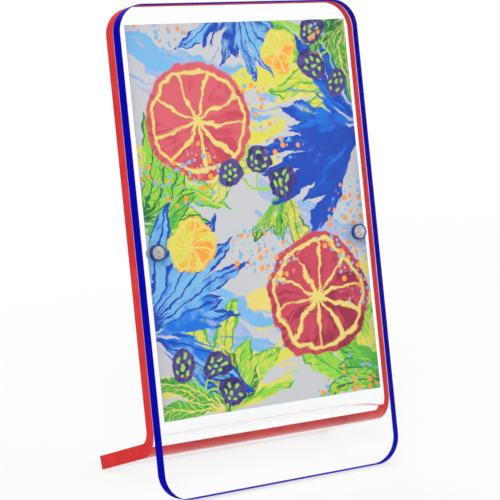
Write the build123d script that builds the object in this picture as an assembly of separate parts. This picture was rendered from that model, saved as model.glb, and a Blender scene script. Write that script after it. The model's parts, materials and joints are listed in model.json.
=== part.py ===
from build123d import *
import math
import os

# Every length is in millimetres. The pieces are drawn in the sheets' own frame: X across the face,
# Y back from the front sheet's face, Z up along it. The whole assembly is leant back at the end.

# Paper print between the sheets
print_width = 101.6
print_length = 152.4
print_thickness = 0.25
print_clearance = 0.05

# Acrylic sheets, with the clear margins that they leave round the print
side_margin = 4.2
top_margin = 7.5
bottom_margin = 30.6
sheet_thickness = 5.6
corner_radius = 11.0
arris = 0.15
edge_colour_depth = 0.15

# Bend and foot of the rear sheet
bend_start_height = 27.6
bend_inner_radius = 5.5
bend_turn_degrees = 80.0
foot_length = 39.1
foot_corner_radius = 0.8

# Magnets and the pockets that they are glued into
magnet_diameter = 6.0
magnet_thickness = 3.0
magnet_edge_radius = 0.4
magnet_recess = 0.1
magnet_side_inset = 8.0
magnet_height_share = 0.5
glue_wall = 0.25
glue_floor = 0.15

# Places worked out from the sizes above
outline_count = 2
half_turn_degrees = 180.0
panel_width = print_width + side_margin + side_margin
panel_height = print_length + top_margin + bottom_margin
rear_face_depth = sheet_thickness + print_thickness + print_clearance + print_clearance
pocket_radius = magnet_diameter / 2 + glue_wall
pocket_depth = magnet_recess + magnet_thickness + glue_floor
magnet_height = panel_height * magnet_height_share
magnet_offset = panel_width / 2 - magnet_side_inset
bend_centre_depth = rear_face_depth + sheet_thickness + bend_inner_radius
bend_outer_radius = bend_inner_radius + sheet_thickness
bend_end_angle = math.radians(half_turn_degrees + bend_turn_degrees)


def bend_point(radius, run):
    """Place, as depth and height, at a radius from the bend's centre and a run along the foot."""
    depth = bend_centre_depth + radius * math.cos(bend_end_angle) - run * math.sin(bend_end_angle)
    height = bend_start_height + radius * math.sin(bend_end_angle) + run * math.cos(bend_end_angle)
    return (depth, height)


def front_profile(skin, trim):
    """Side section of the front sheet, less a skin off its faces and a trim off its ends."""
    near = skin
    far = sheet_thickness - skin
    top = panel_height - trim
    outline = Polyline((near, trim), (far, trim), (far, top), (near, top), close=True)
    return Plane.YZ * make_face(outline)


def rear_profile(skin, trim):
    """Side section of the rear sheet with its bend and foot, less the same skin and trim."""
    near = rear_face_depth + skin
    far = rear_face_depth + sheet_thickness - skin
    top = panel_height - trim
    run = foot_length - trim
    outer = bend_outer_radius - skin
    inner = bend_inner_radius + skin
    centre = (bend_centre_depth, bend_start_height)
    outline = [
        Line((near, top), (near, bend_start_height)),
        CenterArc(centre, outer, half_turn_degrees, bend_turn_degrees),
        Line(bend_point(outer, 0), bend_point(outer, run)),
        Line(bend_point(outer, run), bend_point(inner, run)),
        Line(bend_point(inner, run), bend_point(inner, 0)),
        CenterArc(centre, inner, half_turn_degrees, bend_turn_degrees),
        Line((far, bend_start_height), (far, top)),
        Line((far, top), (near, top)),
    ]
    return Plane.YZ * make_face(outline)


def crosses_thickness(edge):
    """Whether an edge runs straight from one face of a sheet to the other, as at a corner."""
    return edge.geom_type == GeomType.LINE and edge.length < sheet_thickness + arris


def rounded_sheet(profile, low_radius, skin, trim):
    """A sheet cut from its side section, with its lower and upper corners rounded in its own plane."""
    sheet = extrude(profile(skin, trim), panel_width / 2 - trim, both=True)
    for end, radius in ((0, low_radius), (-1, corner_radius)):
        crossings = sheet.edges().filter_by(crosses_thickness)
        sheet = fillet(crossings.group_by(Axis.Z)[end], radius - trim)
    return sheet


def edge_colour(profile, low_radius):
    """The coloured layer all round the sawn edge, between the two eased arrises."""
    outer = rounded_sheet(profile, low_radius, arris, 0)
    return outer - rounded_sheet(profile, low_radius, arris, edge_colour_depth)


def eased_sheet(profile, low_radius):
    """The clear sheet: both face outlines eased, and the coloured layer's depth left out."""
    blank = rounded_sheet(profile, low_radius, 0, 0)
    top_edges = blank.edges().filter_by(Axis.X).sort_by(Axis.Z)[-outline_count:]
    return chamfer(top_edges, arris) - edge_colour(profile, low_radius)


def disc(side, near, far, radius):
    """A short cylinder on a magnet's axis, from one depth to another."""
    base = Plane(origin=(side * magnet_offset, near, magnet_height), z_dir=(0, 1, 0))
    return extrude(base * Circle(radius), far - near)


def pocket(side, mating_face, inward):
    """A blind pocket that opens on a sheet's mating face."""
    floor = mating_face + inward * pocket_depth
    return disc(side, min(mating_face, floor), max(mating_face, floor), pocket_radius)


def magnet(side, mating_face, inward):
    """A plated disc magnet with rounded edges, just below the mating face."""
    outer = mating_face + inward * magnet_recess
    inner = outer + inward * magnet_thickness
    body = disc(side, min(outer, inner), max(outer, inner), magnet_diameter / 2)
    return fillet(body.edges().filter_by(GeomType.CIRCLE), magnet_edge_radius)


def glue(side, mating_face, inward):
    """A cup of adhesive under and around a magnet, up to where its straight wall ends."""
    level = mating_face + inward * (magnet_recess + magnet_edge_radius)
    floor = mating_face + inward * pocket_depth
    fill = disc(side, min(level, floor), max(level, floor), pocket_radius)
    return fill - magnet(side, mating_face, inward)


def photo_print():
    """The paper print, centred across the sheets, with its clear margins above and below."""
    low = (-print_width / 2, sheet_thickness + print_clearance, bottom_margin)
    sheet = Box(print_width, print_thickness, print_length, align=(Align.MIN, Align.MIN, Align.MIN))
    return Pos(*low) * sheet


def lean_degrees():
    """The lean at which the front sheet's heel and the foot's end both touch the table."""
    foot_depth, foot_height = bend_point(bend_outer_radius, foot_length - arris)
    heel_depth = sheet_thickness - arris
    return math.degrees(math.atan2(foot_height, foot_depth - heel_depth))


def build_nodes():
    """Every piece of the frame, still upright in the sheets' own frame."""
    nodes = {}
    sheets = (
        ("front", front_profile, corner_radius, sheet_thickness, -1),
        ("rear", rear_profile, foot_corner_radius, rear_face_depth, 1),
    )
    for sheet_name, profile, low_radius, mating_face, inward in sheets:
        panel = eased_sheet(profile, low_radius)
        for side_name, side in (("left", -1), ("right", 1)):
            panel = panel - pocket(side, mating_face, inward)
            nodes[f"{sheet_name}_{side_name}_magnet"] = magnet(side, mating_face, inward)
            nodes[f"{sheet_name}_{side_name}_glue"] = glue(side, mating_face, inward)
        nodes[f"{sheet_name}_panel"] = panel
        nodes[f"{sheet_name}_edge_colour"] = edge_colour(profile, low_radius)
    nodes["photo_print"] = photo_print()
    return nodes


def stand_up(nodes):
    """Lean every piece back and set the assembly on the table, centred over the origin."""
    lean = Rot(X=-lean_degrees())
    leant = {name: lean * piece for name, piece in nodes.items()}
    box = Compound(children=[Part(piece.wrapped) for piece in leant.values()]).bounding_box()
    to_origin = Pos(0, -box.center().Y, -box.min.Z)
    return {name: to_origin * piece for name, piece in leant.items()}


os.makedirs("parts", exist_ok=True)
for node_name, node_part in stand_up(build_nodes()).items():
    export_step(node_part, f"parts/{node_name}.step")
print("lean in degrees", round(lean_degrees(), 3))
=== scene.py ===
import json
import math

import bmesh
import bpy
from mathutils import Matrix, Vector


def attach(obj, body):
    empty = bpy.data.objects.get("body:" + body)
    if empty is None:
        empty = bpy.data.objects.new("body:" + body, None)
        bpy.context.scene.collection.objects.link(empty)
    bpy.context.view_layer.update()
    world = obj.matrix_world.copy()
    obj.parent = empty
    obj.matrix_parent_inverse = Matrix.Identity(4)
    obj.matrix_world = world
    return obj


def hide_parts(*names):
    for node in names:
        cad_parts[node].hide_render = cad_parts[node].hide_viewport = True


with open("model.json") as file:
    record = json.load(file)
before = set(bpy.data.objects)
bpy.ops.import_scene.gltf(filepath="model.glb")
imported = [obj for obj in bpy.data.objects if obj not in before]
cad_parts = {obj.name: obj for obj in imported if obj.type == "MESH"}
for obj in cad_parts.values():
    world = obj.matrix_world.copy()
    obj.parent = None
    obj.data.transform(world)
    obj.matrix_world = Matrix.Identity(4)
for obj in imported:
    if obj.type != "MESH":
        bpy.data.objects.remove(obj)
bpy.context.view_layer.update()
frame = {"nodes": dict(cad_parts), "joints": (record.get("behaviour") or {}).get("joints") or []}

# Units
MM = 0.001

# From a colour as a picture shows it to its light: a straight foot, and a power above it
SRGB_TOP = 255.0
SRGB_FOOT = 0.04045
SRGB_FOOT_SLOPE = 12.92
SRGB_OFFSET = 0.055
SRGB_POWER = 2.4

# Sheets: the sizes that the frame's boxes don't show
ARRIS = 0.15 * MM
CORNER_RADIUS = 11.0 * MM
FOOT_CORNER_RADIUS = 0.8 * MM
BEND_START_HEIGHT = 27.6 * MM
BEND_INNER_RADIUS = 5.5 * MM
BEND_TURN = math.radians(80.0)
FOOT_LENGTH = 39.1 * MM

# Coloured layer: its depth, where the clear sheet ends inside it, and its slack, which the pocket skins of
# painted reflection have too
LAYER_DEPTH = 0.2 * MM
LAYER_SEAT = 0.1 * MM
LAYER_SLACK = 0.01 * MM

# Magnets, and the skin in the glue round each, coloured as a painted reflection of the sheet's coloured edge
MAGNET_RADIUS = 3.0 * MM
MAGNET_EDGE_RADIUS = 0.4 * MM
POCKET_RADIUS = 3.25 * MM
SKIN_THICKNESS = 0.12 * MM
SKIN_LIP_RADIUS = 2.62 * MM

# Fineness of the meshes
CORNER_STEPS = 28
BEND_STEPS = 64
BEND_GUARD = 0.4 * MM
ROUND_STEPS = 96
EDGE_STEPS = 8
SHARP_ANGLE = math.radians(30.0)

# Camera, as solved from the photograph
CAMERA_HEADING = math.radians(32.01)
CAMERA_PITCH = math.radians(10.56)
CAMERA_ROLL = math.radians(0.37)
CAMERA_TARGET = Vector((-1.43 * MM, -0.31 * MM, 89.8 * MM))
CAMERA_DISTANCE = 712.6 * MM
CAMERA_LENS = 128.6

# Stage, in metres: the floor, where it turns white to the eye, and each lamp's name, place, size and power
FLOOR_RADIUS = 3.0
FLOOR_FADE_START = 0.25
FLOOR_FADE_END = 0.7
FLOOR_GLOW_SHARE = 0.72
FLOOR_PAINT = (0.82, 0.82, 0.82, 1.0)
WHITE = (1.0, 1.0, 1.0, 1.0)
WORLD_LIGHT = 0.62
LAMPS = (
    ("key", Vector((-0.5, -0.7, 0.75)), 0.7, 5.2),
    ("fill", Vector((0.8, -0.4, 0.5)), 0.8, 3.0),
    ("back", Vector((0.1, 0.8, 0.7)), 0.8, 4.0),
)

# Acrylic: its tint inside, in reflections, and for light that passes straight through
ACRYLIC_IOR = 1.49
ACRYLIC_TINT = (0.995, 0.998, 1.0, 1.0)
ACRYLIC_GLINT = (0.06, 0.06, 0.06, 1.0)
ACRYLIC_PASS = (0.98, 0.982, 0.984, 1.0)

# Lacquered edges: clouds and sanding marks in features per millimetre, and how deep the marks are
EDGE_CLOUD_SCALE = 0.12
EDGE_MARK_SCALE = 1.6
EDGE_MARK_STRETCH = (1.0, 9.0, 0.35)
EDGE_MARK_DEPTH = 0.05 * MM
EDGE_CLOUD_SHARE = 0.35
EDGE_MARK_SHARE = 0.25
EDGE_PALE_SHARES = (0.2, 0.42)

# Painted pocket reflection and nickel: clouds and grain in features per millimetre, and what the grain does
# to the nickel
POCKET_REFLECTION_CLOUD_SCALE = 1.4
NICKEL_CLOUD_SCALE = 0.9
NICKEL_WARM_SHARES = (0.3, 0.7)
NICKEL_GRAIN_SCALE = 9.0
NICKEL_GRAIN_DEPTH = 0.01 * MM
NICKEL_GRAIN_ROUGHNESS = 0.2
NICKEL_LEAST_ROUGHNESS = 0.16

# Print, in millimetres: its grain, its washes, how its painted lines wobble, and where its face begins
PAPER_GRAIN_SCALE = 2.2
PAPER_GRAIN_DEPTH = 0.02 * MM
WASH_SCALE = 0.18
WOBBLE_SCALE = 0.07
WOBBLE_REACH = 10.0
TREMOR_SCALE = 0.45
TREMOR_REACH = 2.2
PRINT_FACE_SHARE = 0.9

# Drops of paint: their size in their cells, their soft rim, and the patches in which they lie
DROP_SHARE = 0.34
DROP_RIM_SHARE = 0.04
DROP_PATCH_SCALE = 0.03
DROP_PATCH_STEP = 0.01
DROP_PATCH_SHARES = (0.56, 0.6)

# Brush marks: how quickly they change across them, the drift of those on a slant, and the straight share
FINE_MARKS = 48.0
SLANT_MARKS = 17.0
SLANT_DRIFT = 6.0
FINE_MARK_SHARE = 0.55

# Chance from a number: a wave so high that what follows its decimal point looks random
CHANCE_STEP = 12.9898
CHANCE_HEIGHT = 437.585

# Sockets of a Mix node for colours: its factor and two colours, and its result
MIX_INPUTS = (0, 6, 7)
MIX_RESULT = 2


def srgb(red, green, blue):
    """A colour as a picture shows it, from 0 to 255, as the linear colour that a shader takes."""
    linear = []
    for level in (red, green, blue):
        share = level / SRGB_TOP
        curved = ((share + SRGB_OFFSET) / (1 + SRGB_OFFSET)) ** SRGB_POWER
        linear.append(share / SRGB_FOOT_SLOPE if share <= SRGB_FOOT else curved)
    return (*linear, 1.0)


# Colours of the frame, in pairs: deep and pale, and for nickel cool and warm
BLUE_EDGE = (srgb(0, 0, 164), srgb(2, 2, 178))
RED_EDGE = (srgb(212, 54, 55), srgb(226, 64, 65))
# The pocket colours are painted reflection: each sheet's coloured edge as the magnet's side wall mirrors it
BLUE_POCKET_REFLECTION = (srgb(24, 70, 144), srgb(60, 100, 178))
RED_POCKET_REFLECTION = (srgb(140, 44, 40), srgb(176, 84, 74))
NICKEL = (srgb(150, 150, 160), srgb(190, 180, 166))


# The sheets' own directions: across, back through the sheets, and up along them
pull = next(joint for joint in frame["joints"] if joint["name"] == "cover_pull")
LEAN = math.atan2(pull["axis"][2], -pull["axis"][1])
LEAN_TURN = Matrix.Rotation(-LEAN, 3, "X")


def span(node):
    """Lowest and highest corner of a CAD node in the sheets' own directions."""
    upright = LEAN_TURN.transposed()
    points = [upright @ vertex.co for vertex in frame["nodes"][node].data.vertices]
    low = Vector([min(point[axis] for point in points) for axis in range(3)])
    high = Vector([max(point[axis] for point in points) for axis in range(3)])
    return low, high


front_low, front_high = span("front_panel")
rear_low, _ = span("rear_panel")
print_low, print_high = span("photo_print")
SHEET_THICKNESS = front_high.y - front_low.y
SHEET_HEIGHT = front_high.z - front_low.z
HALF_WIDTH = (front_high.x - front_low.x) / 2
REAR_DEPTH = rear_low.y - front_low.y
PRINT_HALF_WIDTH = (print_high.x - print_low.x) / 2
PRINT_HALF_HEIGHT = (print_high.z - print_low.z) / 2


def to_world(across, depth, height):
    """The place of a point given across the sheets, behind the front face and up from the lower edge."""
    return LEAN_TURN @ Vector((across, front_low.y + depth, front_low.z + height))


# Sheets
def bend_run():
    """Length of the bend along the middle of the rear sheet."""
    return BEND_TURN * (BEND_INNER_RADIUS + SHEET_THICKNESS / 2)


def flat_place(across, run, skin):
    """A point of the front sheet: run is measured down from the top, skin in from the front face."""
    return to_world(across, skin, SHEET_HEIGHT - run)


def bent_place(across, run, skin):
    """A point of the rear sheet, which goes down, round the bend and back along the foot."""
    straight = SHEET_HEIGHT - BEND_START_HEIGHT
    if run <= straight:
        return to_world(across, REAR_DEPTH + skin, SHEET_HEIGHT - run)
    turn = min((run - straight) / bend_run(), 1.0) * BEND_TURN
    beyond = max(run - straight - bend_run(), 0.0)
    radius = BEND_INNER_RADIUS + SHEET_THICKNESS - skin
    depth = REAR_DEPTH + SHEET_THICKNESS + BEND_INNER_RADIUS - radius * math.cos(turn)
    height = BEND_START_HEIGHT - radius * math.sin(turn)
    depth += beyond * math.sin(turn)
    height -= beyond * math.cos(turn)
    return to_world(across, depth, height)


def bend_rows():
    """Runs at which the rear sheet is divided: the bend's steps, and a guard row beyond each end."""
    start = SHEET_HEIGHT - BEND_START_HEIGHT
    steps = [start + bend_run() * step / BEND_STEPS for step in range(BEND_STEPS + 1)]
    return [start - BEND_GUARD, *steps, steps[-1] + BEND_GUARD]


def left_corner(end, way, radius, inset):
    """A quarter turn at the end of a sheet's left side. The way is 1 at the top and -1 at the bottom."""
    reach = radius - inset
    points = []
    for step in range(CORNER_STEPS + 1):
        angle = math.pi / 2 * step / CORNER_STEPS
        across = radius - HALF_WIDTH - reach * math.sin(angle)
        points.append((across, end + way * (radius - reach * math.cos(angle))))
    return points


def half_outline(length, low_radius, rows, inset):
    """The left half of a sheet's flat outline, from the top middle round to the bottom middle."""
    top = left_corner(0, 1, CORNER_RADIUS, inset)
    side = [(inset - HALF_WIDTH, run) for run in rows]
    bottom = left_corner(length, -1, low_radius, inset)
    return top + side + bottom[::-1]


def cap_faces(loop, row_count):
    """Faces that close a sheet's loop: one flat face, or two with a strip for each bent row between."""
    if not row_count:
        return [loop]
    half = len(loop) // 2
    left = loop[:half]
    right = loop[half:][::-1]
    first = CORNER_STEPS + 1
    last = CORNER_STEPS + row_count
    strips = []
    for index in range(first, last):
        strips.append([left[index], left[index + 1], right[index + 1], right[index]])
    upper = left[: first + 1] + right[: first + 1][::-1]
    lower = left[last:] + right[last:][::-1]
    return [upper, *strips, lower]


def finish_mesh(name, build):
    """Turns a finished bmesh into a mesh with outward normals."""
    mesh = bpy.data.meshes.new(name)
    bmesh.ops.recalc_face_normals(build, faces=build.faces)
    build.to_mesh(mesh)
    build.free()
    return mesh


def bridge(build, loops, closed):
    """Joins each loop of vertices to the next with quads, and the last to the first if closed."""
    pairs = list(zip(loops, loops[1:]))
    if closed:
        pairs.append((loops[-1], loops[0]))
    for one, other in pairs:
        for index in range(len(one)):
            after = (index + 1) % len(one)
            build.faces.new((one[index], one[after], other[after], other[index]))


def sheet_loops(build, plan, section):
    """Loops round a sheet, one for each point of the section: its inset and its depth in the sheet."""
    place, length, low_radius, rows = plan
    loops = []
    for inset, skin in section:
        left = half_outline(length, low_radius, rows, inset)
        right = [(-across, run) for across, run in reversed(left)]
        loops.append([build.verts.new(place(across, run, skin)) for across, run in left + right])
    return loops


def clear_mesh(name, plan):
    """The clear body of a sheet, whose sides end inside the coloured layer."""
    build = bmesh.new()
    far = SHEET_THICKNESS
    section = ((ARRIS, 0), (LAYER_SEAT, ARRIS), (LAYER_SEAT, far - ARRIS), (ARRIS, far))
    loops = sheet_loops(build, plan, section)
    bridge(build, loops, False)
    for loop in (loops[0], loops[-1]):
        for corners in cap_faces(loop, len(plan[-1])):
            build.faces.new(corners)
    return finish_mesh(name, build)


def layer_mesh(name, plan):
    """The coloured layer all round a sheet's sawn edge and over its two arrises."""
    build = bmesh.new()
    near = LAYER_SLACK
    far = SHEET_THICKNESS - LAYER_SLACK
    outer = ((ARRIS, near), (0, ARRIS), (0, SHEET_THICKNESS - ARRIS), (ARRIS, far))
    inner = ((LAYER_DEPTH, far), (LAYER_DEPTH, near))
    bridge(build, sheet_loops(build, plan, outer + inner), True)
    return finish_mesh(name, build)


# Turned pieces
def turned_mesh(name, centre, profile, closed):
    """A shape turned about an axis along the sheets' depth, from radii and depths."""
    build = bmesh.new()
    across, height = centre
    loops = []
    for radius, depth in profile:
        loop = []
        for step in range(ROUND_STEPS):
            angle = 2 * math.pi * step / ROUND_STEPS
            place = to_world(across + radius * math.cos(angle), depth, height + radius * math.sin(angle))
            loop.append(build.verts.new(place))
        loops.append(loop)
    bridge(build, loops, closed)
    if not closed:
        build.faces.new(loops[0])
        build.faces.new(loops[-1])
    return finish_mesh(name, build)


def magnet_profile(near, far):
    """Radii and depths of a disc magnet with rounded edges."""
    points = []
    for step in range(EDGE_STEPS + 1):
        angle = math.pi / 2 * step / EDGE_STEPS
        radius = MAGNET_RADIUS - MAGNET_EDGE_RADIUS * (1 - math.sin(angle))
        points.append((radius, MAGNET_EDGE_RADIUS * (1 - math.cos(angle))))
    front = [(radius, near + depth) for radius, depth in points]
    back = [(radius, far - depth) for radius, depth in reversed(points)]
    return front + back


def skin_profile(floor, level):
    """Radii and depths of the skin of painted reflection: up the pocket's wall, and a narrow lip in on its
    floor.
    """
    way = 1 if level > floor else -1
    outer = POCKET_RADIUS - LAYER_SLACK
    inner = outer - SKIN_THICKNESS
    low = floor + way * LAYER_SLACK
    lip = low + way * SKIN_THICKNESS
    top = level - way * LAYER_SLACK
    wall = [(outer, low), (outer, top), (inner, top), (inner, lip)]
    return wall + [(SKIN_LIP_RADIUS, lip), (SKIN_LIP_RADIUS, low)]


def add_object(name, mesh, material):
    """Puts a mesh in the scene under a name, with one material and rounded shading up to sharp edges."""
    piece = bpy.data.objects.new(name, mesh)
    bpy.context.scene.collection.objects.link(piece)
    mesh.materials.append(material)
    mesh.shade_smooth()
    mesh.set_sharp_from_angle(angle=SHARP_ANGLE)
    return piece


def cut_pocket(sheet, centre, near, far):
    """Sinks the mouth of a magnet's pocket into a sheet. Below it, sheet and glue are one clear body."""
    cutter_mesh = turned_mesh("pocket_cutter", centre, [(POCKET_RADIUS, near), (POCKET_RADIUS, far)], False)
    cutter = bpy.data.objects.new("pocket_cutter", cutter_mesh)
    bpy.context.scene.collection.objects.link(cutter)
    cut = sheet.modifiers.new("pocket", "BOOLEAN")
    cut.operation = "DIFFERENCE"
    cut.solver = "EXACT"
    cut.object = cutter
    graph = bpy.context.evaluated_depsgraph_get()
    result = bpy.data.meshes.new_from_object(sheet.evaluated_get(graph))
    sheet.modifiers.remove(cut)
    sheet.data = result
    bpy.data.objects.remove(cutter)


# Shader graphs
class Graph:
    """Short names for the shader nodes that the materials are made of."""

    def __init__(self, tree):
        self.tree = tree

    def node(self, kind, inputs=None, **settings):
        """A new node, its inputs given by name as values or as sockets to link."""
        made = self.tree.nodes.new(kind)
        for name, value in settings.items():
            setattr(made, name, value)
        for name, value in (inputs or {}).items():
            self.feed(made.inputs[name], value)
        return made

    def feed(self, socket, value):
        """Links a socket to an input, or sets the input's own value."""
        if isinstance(value, bpy.types.NodeSocket):
            self.tree.links.new(value, socket)
        else:
            socket.default_value = value

    def math(self, operation, first, second=0.0, third=0.0):
        """The result of an operation on up to three numbers."""
        made = self.node("ShaderNodeMath", operation=operation)
        for socket, value in zip(made.inputs, (first, second, third)):
            self.feed(socket, value)
        return made.outputs[0]

    def times(self, *factors):
        """All the factors multiplied together."""
        product = factors[0]
        for factor in factors[1:]:
            product = self.math("MULTIPLY", product, factor)
        return product

    def vector(self, operation, first, second):
        """The result of an operation on two vectors."""
        made = self.node("ShaderNodeVectorMath", operation=operation)
        self.feed(made.inputs[0], first)
        self.feed(made.inputs[1], second)
        return made.outputs[0]

    def ramp(self, value, start, end):
        """A smooth step from 0 at the start to 1 at the end, which may lie below the start."""
        rising = start < end
        inputs = {
            "Value": value,
            "From Min": min(start, end),
            "From Max": max(start, end),
            "To Min": 0.0 if rising else 1.0,
            "To Max": 1.0 if rising else 0.0,
        }
        made = self.node("ShaderNodeMapRange", inputs, interpolation_type="SMOOTHSTEP", clamp=False)
        return made.outputs["Result"]

    def mix(self, share, first, second):
        """The first colour where the share is 0, and the second where it is 1."""
        made = self.node("ShaderNodeMix", data_type="RGBA")
        for socket, value in zip(MIX_INPUTS, (share, first, second)):
            self.feed(made.inputs[socket], value)
        return made.outputs[MIX_RESULT]

    def noise(self, vector, scale, detail, output="Fac"):
        """Cloudy noise, with about as many features in a unit as its scale says."""
        made = self.node("ShaderNodeTexNoise", {"Vector": vector, "Scale": scale, "Detail": detail})
        return made.outputs[output]

    def wander(self, number):
        """Smooth chance along a line, eased from one whole number to the next."""
        whole = self.math("FLOOR", number)
        part = self.ramp(self.math("FRACT", number), 0.0, 1.0)
        before = self.chance(whole)
        after = self.chance(self.math("ADD", whole, 1.0))
        return self.math("MULTIPLY_ADD", self.math("SUBTRACT", after, before), part, before)

    def bristles(self, along, across):
        """Brush marks that run along and change quickly across, broken by others on a slant."""
        fine = self.wander(self.math("MULTIPLY", across, FINE_MARKS))
        drift = self.math("MULTIPLY", along, SLANT_DRIFT)
        slant = self.wander(self.math("MULTIPLY_ADD", across, SLANT_MARKS, drift))
        rest = self.math("MULTIPLY", slant, 1.0 - FINE_MARK_SHARE)
        return self.math("MULTIPLY_ADD", fine, FINE_MARK_SHARE, rest)

    def chance(self, number):
        """A share from 0 to 1 that looks random, the same for the same number."""
        wave = self.math("SINE", self.math("MULTIPLY", number, CHANCE_STEP))
        return self.math("FRACT", self.math("MULTIPLY", wave, CHANCE_HEIGHT))

    def join(self, x, y):
        """A vector with these two numbers."""
        return self.node("ShaderNodeCombineXYZ", {"X": x, "Y": y}).outputs[0]

    def split(self, vector):
        """The three numbers of a vector."""
        return self.node("ShaderNodeSeparateXYZ", {"Vector": vector}).outputs

    def polar(self, x, y):
        """Distance from the middle and the angle about it."""
        radius = self.math("SQRT", self.math("MULTIPLY_ADD", x, x, self.math("MULTIPLY", y, y)))
        return radius, self.math("ARCTAN2", y, x)

    def sector(self, angle, step):
        """The number of the equal sector that an angle lies in, and the angle from its middle."""
        number = self.math("ROUND", self.math("DIVIDE", angle, step))
        return number, self.math("SUBTRACT", angle, self.math("MULTIPLY", number, step))

    def end_plain(self, output, inputs):
        """Ends a material in one shader with these inputs."""
        surface = self.node("ShaderNodeBsdfPrincipled", inputs)
        self.feed(output.inputs["Surface"], surface.outputs[0])

    def end_mixed(self, output, share, first, second):
        """Ends a material in two shaders: the first where the share is 0, and the second where it is 1."""
        mixed = self.node("ShaderNodeMixShader", {"Fac": share})
        self.feed(mixed.inputs[1], first.outputs[0])
        self.feed(mixed.inputs[2], second.outputs[0])
        self.feed(output.inputs["Surface"], mixed.outputs[0])


def new_material(name):
    """An empty node material, its graph and its output."""
    material = bpy.data.materials.new(name)
    material.use_nodes = True
    material.node_tree.nodes.clear()
    graph = Graph(material.node_tree)
    output = graph.node("ShaderNodeOutputMaterial")
    return material, graph, output


def millimetres(graph):
    """Where a point lies on the object at rest, in millimetres, wherever its piece has moved to."""
    place = graph.node("ShaderNodeTexCoord").outputs["Object"]
    return graph.vector("MULTIPLY", place, (1 / MM, 1 / MM, 1 / MM))


# Plain materials
def acrylic_material():
    """Clear cast acrylic. Lamps and scattered light pass straight through, so that they reach the print."""
    material, graph, output = new_material("clear_acrylic")
    inputs = {
        "Base Color": ACRYLIC_TINT,
        "Roughness": 0.0,
        "IOR": ACRYLIC_IOR,
        "Transmission Weight": 1.0,
        "Specular Tint": ACRYLIC_GLINT,
    }
    glass = graph.node("ShaderNodeBsdfPrincipled", inputs)
    clear = graph.node("ShaderNodeBsdfTransparent", {"Color": ACRYLIC_PASS})
    path = graph.node("ShaderNodeLightPath").outputs
    through = graph.math("MAXIMUM", path["Is Shadow Ray"], path["Is Diffuse Ray"])
    graph.end_mixed(output, through, glass, clear)
    return material


def edge_material(name, deep, pale):
    """Coloured lacquer on a sawn and sanded edge, with fine marks and thin spots where it is paler."""
    material, graph, output = new_material(name)
    spot = millimetres(graph)
    cloud = graph.noise(spot, EDGE_CLOUD_SCALE, detail=3.0)
    stretched = graph.vector("MULTIPLY", spot, EDGE_MARK_STRETCH)
    marks = graph.noise(stretched, EDGE_MARK_SCALE, detail=4.0)
    clouded = graph.math("MULTIPLY", cloud, EDGE_CLOUD_SHARE)
    share = graph.math("MULTIPLY_ADD", marks, EDGE_MARK_SHARE, clouded)
    colour = graph.mix(graph.ramp(share, *EDGE_PALE_SHARES), deep, pale)
    bump = graph.node("ShaderNodeBump", {"Strength": 0.12, "Distance": EDGE_MARK_DEPTH, "Height": marks})
    inputs = {"Base Color": colour, "Roughness": 0.6, "Specular IOR Level": 0.01, "Normal": bump.outputs[0]}
    graph.end_plain(output, inputs)
    return material


def pocket_reflection_material(name, deep, pale):
    """A see-through skin on the drilled wall of a magnet's pocket, a little uneven: a painted reflection of
    the sheet's coloured edge, as the magnet's side wall mirrors it.
    """
    material, graph, output = new_material(name)
    cloud = graph.noise(millimetres(graph), POCKET_REFLECTION_CLOUD_SCALE, detail=3.0)
    colour = graph.mix(cloud, deep, pale)
    inputs = {"Base Color": colour, "Roughness": 0.4, "Specular IOR Level": 0.1, "Alpha": 0.62}
    graph.end_plain(output, inputs)
    return material


def nickel_material():
    """Bright nickel plating with a faint grain and a few handling marks."""
    material, graph, output = new_material("magnet_nickel")
    spot = millimetres(graph)
    cloud = graph.noise(spot, NICKEL_CLOUD_SCALE, detail=3.0)
    grain = graph.noise(spot, NICKEL_GRAIN_SCALE, detail=5.0)
    colour = graph.mix(graph.ramp(cloud, *NICKEL_WARM_SHARES), *NICKEL)
    roughness = graph.math("MULTIPLY_ADD", grain, NICKEL_GRAIN_ROUGHNESS, NICKEL_LEAST_ROUGHNESS)
    bump = graph.node("ShaderNodeBump", {"Strength": 0.15, "Distance": NICKEL_GRAIN_DEPTH, "Height": grain})
    inputs = {"Base Color": colour, "Metallic": 1.0, "Roughness": roughness, "Normal": bump.outputs[0]}
    graph.end_plain(output, inputs)
    return material


# Motifs of the painted print, each a node group in its own unit frame

# What the motifs have in common. A pair of shares is where a smooth step starts and where it ends.
MIDDLE_SHARE = 0.5
RIM_SHARES = (0.0, 0.006)
START_SHARES = (0.0, 0.02)
END_SHARES = (1.0, 0.98)

# A stroke: how far it bows in at its ends, how ragged its sides are, and how it dries along its way
BOW_TOP_SHARE = 0.25
STROKE_BLUNT_POWER = 0.2
STROKE_RAG_SHARE = 0.04
STROKE_WEAR_SHARE = 0.16
STROKE_FIRST_WEAR_SHARE = 0.3
STROKE_WET_SHARES = (-0.02, 0.05)
STROKE_LINE_SHARES = (0.6, 0.66)

# A tuft: its shortest blade, where a blade is widest, its sides and brush marks, and the lines drawn on it
BLADE_LEAST_SHARE = 0.66
BLADE_BELLY_POWER = 1.3
BLADE_RAG_SHARE = 0.02
BLADE_MARK_SHARE = 0.17
BLADE_WET_SHARES = (0.24, 0.32)
BLADE_INK_SHARES = (0.36, 0.44)
BLADE_INK_START_SHARES = (0.02, 0.1)
BLADE_CHANCE_TONE_SHARE = 0.4
BLADE_MARK_TONE_SHARE = 0.7
OUTLINE_INSET_SHARE = 0.008
OUTLINE_SHARES = (0.012, 0.006)
RIB_SHARES = (0.011, 0.005)
VEINS_ALONG = 88.0
VEINS_ASIDE = -120.0
VEIN_SHARES = (0.7, 0.95)

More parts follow.
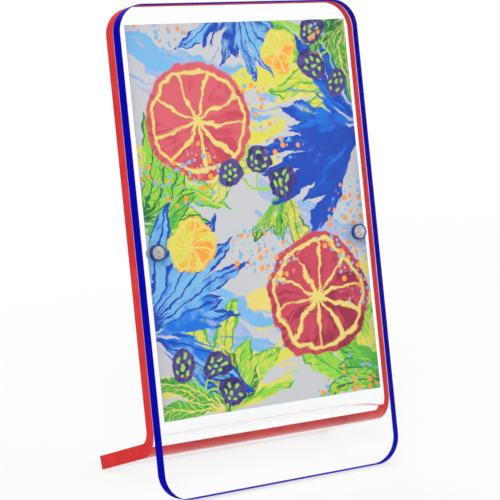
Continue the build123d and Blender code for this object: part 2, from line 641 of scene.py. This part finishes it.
# A slice: its soft rim, and where its rind, pith, wedges and core meet
SLICE_RIM_SHARES = (1.0, 0.97)
RIND_SHARES = (0.9, 0.87)
FLESH_SHARES = (0.84, 0.81)
CORE_SHARES = (0.06, 0.1)
PITH_SHARES = (0.05, 0.07)
PITH_RAG_SHARE = 0.06
FLECK_TURN_SHARE = 0.3
WEDGE_TONE_SHARE = 0.3
FLECK_TONE_SHARE = 0.9

# A cluster: how far out its berries lie, their size, and their seeds and stems
BERRIES = 3
BERRY_REACH_SHARE = 0.58
BERRY_SCATTER_SHARE = 0.12
BERRY_SHARES = (0.3, 0.28)
SEEDS = 6
SEED_RING_SHARE = 0.16
SEED_SHARES = (0.05, 0.035)
MIDDLE_SEED_SHARES = (0.06, 0.045)
STEM_SHARES = (0.03, 0.02)
STEM_END_SHARES = (-0.29, -0.31)

# How far a wash bows, and how the washes mottle a motif's two colours
WASH_BOW_SHARE = 0.3
MOTTLE_SHARE = 1.2
TONE_SHARES = (0.25, 0.75)


def motif_group(name, *numbers):
    """An empty node group that takes a place and some numbers and gives a mask, a tone and drawn lines."""
    tree = bpy.data.node_groups.new(name, "ShaderNodeTree")
    for label in ("X", "Y", *numbers):
        tree.interface.new_socket(label, in_out="INPUT", socket_type="NodeSocketFloat")
    for label in ("Mask", "Tone", "Line"):
        tree.interface.new_socket(label, in_out="OUTPUT", socket_type="NodeSocketFloat")
    graph = Graph(tree)
    given = graph.node("NodeGroupInput").outputs
    return tree, graph, given, graph.node("NodeGroupOutput").inputs, given["X"], given["Y"]


def stroke_group():
    """A dry brush stroke from x 0 to x 1, which breaks into bristle marks towards its end."""
    tree, graph, given, made, x, y = motif_group("painted_stroke", "Width", "Curve")
    along = graph.math("MINIMUM", graph.math("MAXIMUM", x, 0.0), 1.0)
    bow = graph.math("MULTIPLY", along, graph.math("SUBTRACT", 1.0, along))
    across = graph.math("MULTIPLY_ADD", bow, given["Curve"], y)
    swell = graph.math("POWER", graph.math("MULTIPLY", bow, 1.0 / BOW_TOP_SHARE), STROKE_BLUNT_POWER)
    half = graph.math("MULTIPLY", swell, given["Width"])
    inner = graph.math("SUBTRACT", half, graph.math("ABSOLUTE", across))
    bristles = graph.bristles(x, across)
    uneven = graph.math("SUBTRACT", bristles, MIDDLE_SHARE)
    ragged = graph.math("MULTIPLY_ADD", uneven, STROKE_RAG_SHARE, inner)
    worn = graph.math("MULTIPLY_ADD", along, STROKE_WEAR_SHARE, STROKE_FIRST_WEAR_SHARE)
    wet = graph.ramp(graph.math("SUBTRACT", bristles, worn), *STROKE_WET_SHARES)
    inside = graph.times(graph.ramp(x, *START_SHARES), graph.ramp(x, *END_SHARES))
    mask = graph.times(graph.ramp(ragged, *RIM_SHARES), inside, wet)
    graph.feed(made["Mask"], mask)
    graph.feed(made["Tone"], bristles)
    graph.feed(made["Line"], graph.times(mask, graph.ramp(bristles, *STROKE_LINE_SHARES)))
    return tree


def tuft_group():
    """A tuft of leaves or blades about the x axis, out to radius 1, each with its own reach and tone."""
    numbers = ("Blades", "Spread", "Twist", "Full", "Veins")
    tree, graph, given, made, x, y = motif_group("painted_tuft", *numbers)
    radius, turn = graph.polar(x, y)
    angle = graph.math("MULTIPLY_ADD", radius, given["Twist"], turn)
    step = graph.math("DIVIDE", given["Spread"], given["Blades"])
    blade, off = graph.sector(angle, step)
    chance = graph.chance(blade)
    reach = graph.math("MULTIPLY_ADD", chance, 1.0 - BLADE_LEAST_SHARE, BLADE_LEAST_SHARE)
    share = graph.math("MINIMUM", graph.math("DIVIDE", radius, reach), 1.0)
    bellied = graph.math("POWER", share, BLADE_BELLY_POWER)
    swell = graph.math("SINE", graph.math("MULTIPLY", bellied, math.pi))
    half = graph.times(swell, step, given["Full"])
    aside = graph.math("MULTIPLY", radius, graph.math("SINE", off))
    apart = graph.math("ABSOLUTE", aside)
    inner = graph.math("SUBTRACT", half, apart)
    bristles = graph.bristles(radius, graph.math("MULTIPLY_ADD", blade, BLADE_MARK_SHARE, aside))
    uneven = graph.math("SUBTRACT", bristles, MIDDLE_SHARE)
    ragged = graph.math("MULTIPLY_ADD", uneven, BLADE_RAG_SHARE, inner)
    number = graph.math("ABSOLUTE", blade)
    fits = graph.math("LESS_THAN", number, graph.math("MULTIPLY", given["Blades"], 1 / 2))
    within = graph.times(fits, graph.ramp(share, *END_SHARES))
    wet = graph.ramp(bristles, *BLADE_WET_SHARES)
    graph.feed(made["Mask"], graph.times(graph.ramp(ragged, *RIM_SHARES), within, wet))
    inset = graph.math("SUBTRACT", inner, OUTLINE_INSET_SHARE)
    outline = graph.ramp(graph.math("ABSOLUTE", inset), *OUTLINE_SHARES)
    slant = graph.math("MULTIPLY", apart, VEINS_ASIDE)
    waves = graph.math("SINE", graph.math("MULTIPLY_ADD", radius, VEINS_ALONG, slant))
    veins = graph.times(graph.ramp(waves, *VEIN_SHARES), graph.ramp(inner, *START_SHARES), given["Veins"])
    rib = graph.ramp(apart, *RIB_SHARES)
    drawn = graph.math("MAXIMUM", graph.math("MAXIMUM", outline, rib), veins)
    inked = graph.ramp(bristles, *BLADE_INK_SHARES)
    begun = graph.ramp(share, *BLADE_INK_START_SHARES)
    graph.feed(made["Line"], graph.times(drawn, within, inked, begun))
    marked = graph.math("MULTIPLY", bristles, BLADE_MARK_TONE_SHARE)
    graph.feed(made["Tone"], graph.math("MULTIPLY_ADD", chance, BLADE_CHANCE_TONE_SHARE, marked))
    return tree


def slice_group():
    """A fruit slice of radius 1: a rind, pale pith drawn between, and streaked wedges."""
    tree, graph, given, made, x, y = motif_group("painted_slice", "Wedges")
    radius, angle = graph.polar(x, y)
    step = graph.math("DIVIDE", 2 * math.pi, given["Wedges"])
    wedge, off = graph.sector(angle, step)
    border = graph.math("SUBTRACT", graph.math("MULTIPLY", step, 1 / 2), graph.math("ABSOLUTE", off))
    gap = graph.math("MULTIPLY", radius, graph.math("SINE", border))
    flecks = graph.bristles(radius, graph.math("MULTIPLY", angle, FLECK_TURN_SHARE))
    loose = graph.math("MULTIPLY_ADD", flecks, PITH_RAG_SHARE, gap)
    wedges = graph.ramp(loose, *PITH_SHARES)
    flesh = graph.times(wedges, graph.ramp(radius, *FLESH_SHARES), graph.ramp(radius, *CORE_SHARES))
    pith = graph.times(graph.math("SUBTRACT", 1.0, flesh), graph.ramp(radius, *RIND_SHARES))
    graph.feed(made["Mask"], graph.ramp(radius, *SLICE_RIM_SHARES))
    graph.feed(made["Line"], pith)
    chance = graph.chance(wedge)
    flecked = graph.math("MULTIPLY", flecks, FLECK_TONE_SHARE)
    graph.feed(made["Tone"], graph.math("MULTIPLY_ADD", chance, WEDGE_TONE_SHARE, flecked))
    return tree


def cluster_group():
    """Three berries out to radius 1, on stems from the middle, each with a ring of seeds drawn on it."""
    tree, graph, given, made, x, y = motif_group("painted_cluster", "Spread")
    radius, angle = graph.polar(x, y)
    berry, off = graph.sector(angle, given["Spread"])
    chance = graph.chance(berry)
    reach = graph.math("MULTIPLY_ADD", chance, BERRY_SCATTER_SHARE, BERRY_REACH_SHARE)
    along = graph.math("MULTIPLY", radius, graph.math("COSINE", off))
    beside = graph.math("MULTIPLY", radius, graph.math("SINE", off))
    ahead = graph.math("SUBTRACT", along, reach)
    inside, turn = graph.polar(ahead, beside)
    _, seed_off = graph.sector(turn, 2 * math.pi / SEEDS)
    outward = graph.math("MULTIPLY", inside, graph.math("COSINE", seed_off))
    forward = graph.math("SUBTRACT", outward, SEED_RING_SHARE)
    aside = graph.math("MULTIPLY", inside, graph.math("SINE", seed_off))
    near_seed, _ = graph.polar(forward, aside)
    ring = graph.ramp(near_seed, *SEED_SHARES)
    seeds = graph.math("MAXIMUM", ring, graph.ramp(inside, *MIDDLE_SEED_SHARES))
    stem = graph.times(
        graph.ramp(graph.math("ABSOLUTE", beside), *STEM_SHARES),
        graph.ramp(along, *START_SHARES),
        graph.ramp(ahead, *STEM_END_SHARES),
    )
    few = graph.math("LESS_THAN", graph.math("ABSOLUTE", berry), BERRIES / 2)
    graph.feed(made["Mask"], graph.times(graph.ramp(inside, *BERRY_SHARES), few))
    graph.feed(made["Line"], graph.times(graph.math("MAXIMUM", seeds, stem), few))
    graph.feed(made["Tone"], graph.bristles(x, y))
    return tree


# Colours of the print
PAPER, PAPER_SHADE, PAPER_BACK = srgb(199, 200, 202), srgb(190, 191, 194), srgb(219, 219, 217)
DEEP_BLUE, SEA_BLUE, SKY_BLUE = srgb(0, 64, 176), srgb(0, 108, 212), srgb(116, 178, 220)
LEAF_DARK, LEAF_GREEN, LEAF_LIME = srgb(20, 114, 58), srgb(78, 176, 58), srgb(146, 206, 66)
LEMON, BUTTER, ORANGE = srgb(216, 209, 84), srgb(226, 207, 116), srgb(240, 152, 60)
ROSE, CORAL, WINE = srgb(196, 64, 86), srgb(212, 92, 104), srgb(148, 32, 66)
PLUM, VIOLET, LILAC = srgb(48, 34, 102), srgb(86, 70, 138), srgb(170, 178, 212)


# Where the motifs lie. Each row starts with its place across and up, its turn in degrees and its size.

# Washes: width, and two colours
WASH_SHARES = (
    (-1.05, 0.86, -14.0, 0.72, 0.16, LILAC, SKY_BLUE),
    (-0.10, 0.62, 20.0, 0.64, 0.15, BUTTER, LEMON),
    (-1.05, 0.30, 8.0, 0.72, 0.14, BUTTER, LEMON),
    (0.00, 0.10, -24.0, 0.62, 0.16, SKY_BLUE, LILAC),
    (-1.00, -0.28, -22.0, 0.70, 0.15, LILAC, SKY_BLUE),
    (-0.20, -0.50, 12.0, 0.74, 0.14, LEMON, BUTTER),
    (-1.00, -0.88, 10.0, 0.64, 0.15, BUTTER, LEMON),
)

# Tufts: number of blades, spread, twist and fullness, two colours, and the colour of the lines
TUFT_SHARES = (
    (-1.06, 0.10, 6.0, 0.46, 6.0, 2.6, 0.7, 0.30, LEMON, LEAF_LIME, LEAF_GREEN),
    (-1.06, 0.00, -2.0, 0.44, 5.0, 2.2, -0.6, 0.26, LEAF_GREEN, LEAF_LIME, LEAF_DARK),
    (1.06, 1.00, 226.0, 0.56, 5.0, 1.7, 0.6, 0.30, LEAF_LIME, LEMON, LEAF_GREEN),
    (1.04, 1.04, 222.0, 0.46, 4.0, 1.5, -0.6, 0.27, LEAF_DARK, LEAF_GREEN, BUTTER),
    (1.06, -1.00, 136.0, 0.54, 5.0, 1.8, 0.6, 0.30, LEMON, LEAF_LIME, LEAF_GREEN),
    (1.08, -0.96, 138.0, 0.42, 4.0, 1.6, -0.7, 0.27, LEAF_GREEN, LEAF_LIME, LEAF_DARK),
    (-0.40, -1.06, 92.0, 0.52, 6.0, 2.2, 0.6, 0.30, LEAF_LIME, LEMON, LEAF_GREEN),
    (-0.46, -1.04, 88.0, 0.42, 5.0, 2.4, -0.7, 0.26, LEAF_DARK, LEAF_GREEN, BUTTER),
    (0.20, 0.14, -70.0, 0.34, 4.0, 1.9, 0.6, 0.28, LEAF_GREEN, LEMON, LEAF_DARK),
    (0.10, 0.24, 150.0, 0.32, 4.0, 1.9, -0.6, 0.28, LEAF_LIME, BUTTER, LEAF_GREEN),
    (1.08, 0.40, 174.0, 0.56, 11.0, 2.3, 0.0, 0.36, SEA_BLUE, DEEP_BLUE, DEEP_BLUE),
    (-1.10, -0.56, 16.0, 0.58, 11.0, 2.2, 0.0, 0.36, SEA_BLUE, SKY_BLUE, DEEP_BLUE),
    (-0.04, 1.10, -92.0, 0.36, 9.0, 2.2, 0.0, 0.36, DEEP_BLUE, SKY_BLUE, DEEP_BLUE),
)

# Slices: number of wedges, two colours, and the colour of the pith
SLICE_SHARES = (
    (-0.44, 0.50, 12.0, 0.235, 9.0, ROSE, CORAL, BUTTER),
    (0.50, -0.46, 30.0, 0.245, 10.0, WINE, ROSE, BUTTER),
    (-0.62, -0.14, 50.0, 0.105, 8.0, ORANGE, LEMON, BUTTER),
    (0.34, 0.84, 8.0, 0.085, 7.0, ORANGE, LEMON, BUTTER),
)

# Clusters: spread from berry to berry, two colours, and the colour of the seeds and stems
CLUSTER_SHARES = (
    (0.02, 0.12, 80.0, 0.20, 1.2, PLUM, VIOLET, LEAF_LIME),
    (0.84, 0.84, 205.0, 0.19, 1.2, PLUM, VIOLET, LEAF_LIME),
    (-0.62, -0.88, 60.0, 0.20, 1.2, PLUM, VIOLET, LEAF_LIME),
)

# Drops, as cells per millimetre and a colour
DROPS = ((0.32, SKY_BLUE), (0.26, ORANGE))


def motif(graph, group, spot, place, **numbers):
    """One painted motif, placed in shares of the print's half sides and sized in shares of its width."""
    share_across, share_up, degrees, size = place
    across = share_across * PRINT_HALF_WIDTH / MM
    up = share_up * PRINT_HALF_HEIGHT / MM
    length = size * 2 * PRINT_HALF_WIDTH / MM
    level = math.cos(math.radians(degrees)) / length
    steep = math.sin(math.radians(degrees)) / length
    x, y = spot
    ahead = graph.math("MULTIPLY_ADD", y, steep, -(across * level + up * steep))
    aside = graph.math("MULTIPLY_ADD", y, level, across * steep - up * level)
    inputs = {
        "X": graph.math("MULTIPLY_ADD", x, level, ahead),
        "Y": graph.math("MULTIPLY_ADD", x, -steep, aside),
    }
    return graph.node("ShaderNodeGroup", {**inputs, **numbers}, node_tree=group).outputs


def painted(graph, picture, made, wash, dark, light, line):
    """Lays a motif over the picture: its two colours, mottled by the wash, and then its drawn lines."""
    mottle = graph.math("MULTIPLY", graph.math("SUBTRACT", wash, MIDDLE_SHARE), MOTTLE_SHARE)
    share = graph.math("ADD", made["Tone"], mottle)
    colour = graph.mix(graph.ramp(share, *TONE_SHARES), dark, light)
    picture = graph.mix(made["Mask"], picture, colour)
    return graph.mix(made["Line"], picture, line)


def paint_motifs(graph, picture, spot, wash):
    """Broad washes under tufts and fans of leaves, and then fruit slices and berries."""
    stroke = stroke_group()
    for *place, width, dark, light in WASH_SHARES:
        made = motif(graph, stroke, spot, place, Width=width, Curve=WASH_BOW_SHARE)
        picture = painted(graph, picture, made, wash, dark, light, light)
    tuft = tuft_group()
    for *place, blades, spread, twist, full, dark, light, line in TUFT_SHARES:
        numbers = {"Blades": blades, "Spread": spread, "Twist": twist, "Full": full, "Veins": abs(twist)}
        made = motif(graph, tuft, spot, place, **numbers)
        picture = painted(graph, picture, made, wash, dark, light, line)
    fruit = slice_group()
    for *place, wedges, dark, light, line in SLICE_SHARES:
        made = motif(graph, fruit, spot, place, Wedges=wedges)
        picture = painted(graph, picture, made, wash, dark, light, line)
    cluster = cluster_group()
    for *place, spread, dark, light, line in CLUSTER_SHARES:
        made = motif(graph, cluster, spot, place, Spread=spread)
        picture = painted(graph, picture, made, wash, dark, light, line)
    return picture


def paint_drops(graph, picture, flat):
    """Scattered drops of paint, in two colours, each in patches of its own."""
    for scale, colour in DROPS:
        cells = graph.node("ShaderNodeTexVoronoi", {"Vector": flat, "Scale": scale}, voronoi_dimensions="2D")
        chance = graph.split(cells.outputs["Color"])[0]
        reach = graph.math("MULTIPLY", chance, DROP_SHARE)
        depth = graph.math("SUBTRACT", cells.outputs["Distance"], reach)
        cloud = graph.noise(flat, DROP_PATCH_SCALE + DROP_PATCH_STEP * scale, detail=0.0)
        patch = graph.ramp(cloud, *DROP_PATCH_SHARES)
        drop = graph.ramp(depth, 0.0, -DROP_RIM_SHARE)
        picture = graph.mix(graph.times(drop, patch), picture, colour)
    return picture


def print_material():
    """Coated photo paper, with the painted picture on its front face alone."""
    material, graph, output = new_material("print_paper")
    inputs = {
        "Vector": graph.node("ShaderNodeTexCoord").outputs["Object"],
        "Location": LEAN_TURN @ ((print_low + print_high) / 2),
        "Rotation": (-LEAN, 0.0, 0.0),
        "Scale": (MM, MM, MM),
    }
    x, depth, y = graph.split(graph.node("ShaderNodeMapping", inputs, vector_type="TEXTURE").outputs[0])
    flat = graph.join(x, y)
    middle = (MIDDLE_SHARE, MIDDLE_SHARE, MIDDLE_SHARE)
    wobble = graph.vector("SUBTRACT", graph.noise(flat, WOBBLE_SCALE, detail=2.0, output="Color"), middle)
    tremor = graph.vector("SUBTRACT", graph.noise(flat, TREMOR_SCALE, detail=3.0, output="Color"), middle)
    wobble = graph.vector("MULTIPLY", wobble, (WOBBLE_REACH, WOBBLE_REACH, 0.0))
    bent = graph.vector("ADD", flat, wobble)
    tremor = graph.vector("MULTIPLY", tremor, (TREMOR_REACH, TREMOR_REACH, 0.0))
    spot = graph.split(graph.vector("ADD", bent, tremor))
    grain = graph.noise(flat, PAPER_GRAIN_SCALE, detail=3.0)
    picture = graph.mix(grain, PAPER, PAPER_SHADE)
    picture = paint_motifs(graph, picture, spot[:2], graph.noise(flat, WASH_SCALE, detail=4.0))
    picture = paint_drops(graph, picture, flat)

    face = -PRINT_FACE_SHARE * (print_high.y - print_low.y) / 2 / MM
    colour = graph.mix(graph.math("LESS_THAN", depth, face), PAPER_BACK, picture)
    bump = graph.node("ShaderNodeBump", {"Strength": 0.05, "Distance": PAPER_GRAIN_DEPTH, "Height": grain})
    inputs = {"Base Color": colour, "Roughness": 0.45, "Specular IOR Level": 0.25, "Normal": bump.outputs[0]}
    graph.end_plain(output, inputs)
    return material


# Pieces
def middle_of(low, high):
    """Where a magnet's axis runs, across the sheets and up from the lower edge."""
    return (low.x + high.x) / 2, (low.z + high.z) / 2 - front_low.z


def pocket_depths(side, hand):
    """The depths of a glue's bed and of its upper rim, behind the front face, and its middle."""
    low, high = span(f"{side}_{hand}_glue")
    floor, level = low.y - front_low.y, high.y - front_low.y
    if side == "rear":
        floor, level = level, floor
    return floor, level, middle_of(low, high)


def build_sheet(side, body, plan, clear, lacquer):
    """One clear sheet with its pockets, and the coloured layer on its edge."""
    sheet = add_object(f"{side}_sheet", clear_mesh(f"{side}_sheet", plan), clear)
    for hand in ("left", "right"):
        _, level, middle = pocket_depths(side, hand)
        if side == "front":
            cut_pocket(sheet, middle, level, SHEET_THICKNESS + ARRIS)
        else:
            cut_pocket(sheet, middle, REAR_DEPTH - ARRIS, level)
    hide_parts(f"{side}_panel")
    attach(sheet, body)
    layer = add_object(f"{side}_edge", layer_mesh(f"{side}_edge", plan), lacquer)
    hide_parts(f"{side}_edge_colour")
    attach(layer, body)


def build_fixing(side, hand, body, nickel, pocket_reflection):
    """One magnet, turned finer than the CAD model's, and the skin in the glue round it, coloured as a
    painted reflection of the sheet's edge.
    """
    low, high = span(f"{side}_{hand}_magnet")
    profile = magnet_profile(low.y - front_low.y, high.y - front_low.y)
    disc_mesh = turned_mesh(f"{side}_{hand}_disc", middle_of(low, high), profile, False)
    disc = add_object(f"{side}_{hand}_disc", disc_mesh, nickel)
    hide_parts(f"{side}_{hand}_magnet")
    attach(disc, body)
    floor, level, middle = pocket_depths(side, hand)
    skin_mesh = turned_mesh(f"{side}_{hand}_skin", middle, skin_profile(floor, level), True)
    # The skin's colour is a painted reflection of the sheet's coloured edge in the magnet's side wall
    skin = add_object(f"{side}_{hand}_skin", skin_mesh, pocket_reflection)
    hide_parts(f"{side}_{hand}_glue")
    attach(skin, body)


def build_frame():
    """Both sheets with their coloured edges, and the magnets that hold them together."""
    clear = acrylic_material()
    nickel = nickel_material()
    blue = edge_material("blue_edge", *BLUE_EDGE)
    red = edge_material("red_edge", *RED_EDGE)
    # Painted reflection of each sheet's coloured edge, for the skins round the magnets
    blue_pocket_reflection = pocket_reflection_material("blue_pocket_reflection", *BLUE_POCKET_REFLECTION)
    red_pocket_reflection = pocket_reflection_material("red_pocket_reflection", *RED_POCKET_REFLECTION)
    bent_length = SHEET_HEIGHT - BEND_START_HEIGHT + bend_run() + FOOT_LENGTH
    flat_plan = (flat_place, SHEET_HEIGHT, CORNER_RADIUS, [])
    bent_plan = (bent_place, bent_length, FOOT_CORNER_RADIUS, bend_rows())
    build_sheet("front", "cover", flat_plan, clear, blue)
    build_sheet("rear", "stand", bent_plan, clear, red)
    for hand in ("left", "right"):
        build_fixing("front", hand, "cover", nickel, blue_pocket_reflection)
        build_fixing("rear", hand, "stand", nickel, red_pocket_reflection)


def dress_print():
    """Gives the print its paper and picture."""
    sheet = frame["nodes"]["photo_print"]
    sheet.data.materials.clear()
    sheet.data.materials.append(print_material())


# Stage
def seen_share(graph):
    """Whether a ray comes from the eye, directly, mirrored or through something clear."""
    path = graph.node("ShaderNodeLightPath").outputs
    seen = graph.math("MAXIMUM", path["Is Camera Ray"], path["Is Glossy Ray"])
    return graph.math("MAXIMUM", seen, path["Is Transmission Ray"])


def build_floor():
    """A pale round floor, white to the eye, which keeps a soft shadow near the object."""
    build = bmesh.new()
    bmesh.ops.create_circle(build, cap_ends=True, segments=ROUND_STEPS, radius=FLOOR_RADIUS)
    material, graph, output = new_material("floor_white")
    paint = graph.node("ShaderNodeBsdfDiffuse", {"Color": FLOOR_PAINT})
    glow = graph.node("ShaderNodeEmission", {"Color": WHITE, "Strength": 1.0})
    x, y, _ = graph.split(graph.node("ShaderNodeTexCoord").outputs["Object"])
    away, _ = graph.polar(x, y)
    far = graph.ramp(away, FLOOR_FADE_START, FLOOR_FADE_END)
    share = graph.times(graph.math("MAXIMUM", far, FLOOR_GLOW_SHARE), seen_share(graph))
    graph.end_mixed(output, share, paint, glow)
    add_object("floor", finish_mesh("floor", build), material)


def build_world():
    """White to the eye, and a plain soft light for the object."""
    world = bpy.data.worlds.new("studio")
    bpy.context.scene.world = world
    world.use_nodes = True
    world.node_tree.nodes.clear()
    graph = Graph(world.node_tree)
    output = graph.node("ShaderNodeOutputWorld")
    strength = graph.math("MULTIPLY_ADD", seen_share(graph), 1.0 - WORLD_LIGHT, WORLD_LIGHT)
    light = graph.node("ShaderNodeBackground", {"Color": WHITE, "Strength": strength})
    graph.feed(output.inputs["Surface"], light.outputs[0])


def build_lamps():
    """Three large soft lamps aimed at the middle of the object."""
    for name, place, size, power in LAMPS:
        data = bpy.data.lights.new(name, "AREA")
        data.shape = "DISK"
        data.size = size
        data.energy = power
        lamp = bpy.data.objects.new(name, data)
        bpy.context.scene.collection.objects.link(lamp)
        lamp.location = place
        lamp.rotation_euler = (CAMERA_TARGET - place).to_track_quat("-Z", "Y").to_euler()


def build_camera():
    """The photograph's viewpoint."""
    data = bpy.data.cameras.new("camera")
    data.lens = CAMERA_LENS
    camera = bpy.data.objects.new("camera", data)
    bpy.context.scene.collection.objects.link(camera)
    level = math.cos(CAMERA_PITCH)
    side = math.sin(CAMERA_HEADING) * level
    ahead = Vector((side, math.cos(CAMERA_HEADING) * level, -math.sin(CAMERA_PITCH)))
    camera.location = CAMERA_TARGET - ahead * CAMERA_DISTANCE
    roll = Matrix.Rotation(CAMERA_ROLL, 3, "Z").to_quaternion()
    camera.rotation_mode = "QUATERNION"
    camera.rotation_quaternion = ahead.to_track_quat("-Z", "Y") @ roll
    bpy.context.scene.camera = camera


build_frame()
dress_print()
build_floor()
build_world()
build_lamps()
build_camera()

# Enough bounces for light that runs along inside the foot
scene = bpy.context.scene
scene.view_settings.view_transform = "Standard"
scene.cycles.max_bounces = 24
scene.cycles.glossy_bounces = 16
scene.cycles.transmission_bounces = 20
scene.cycles.transparent_max_bounces = 32
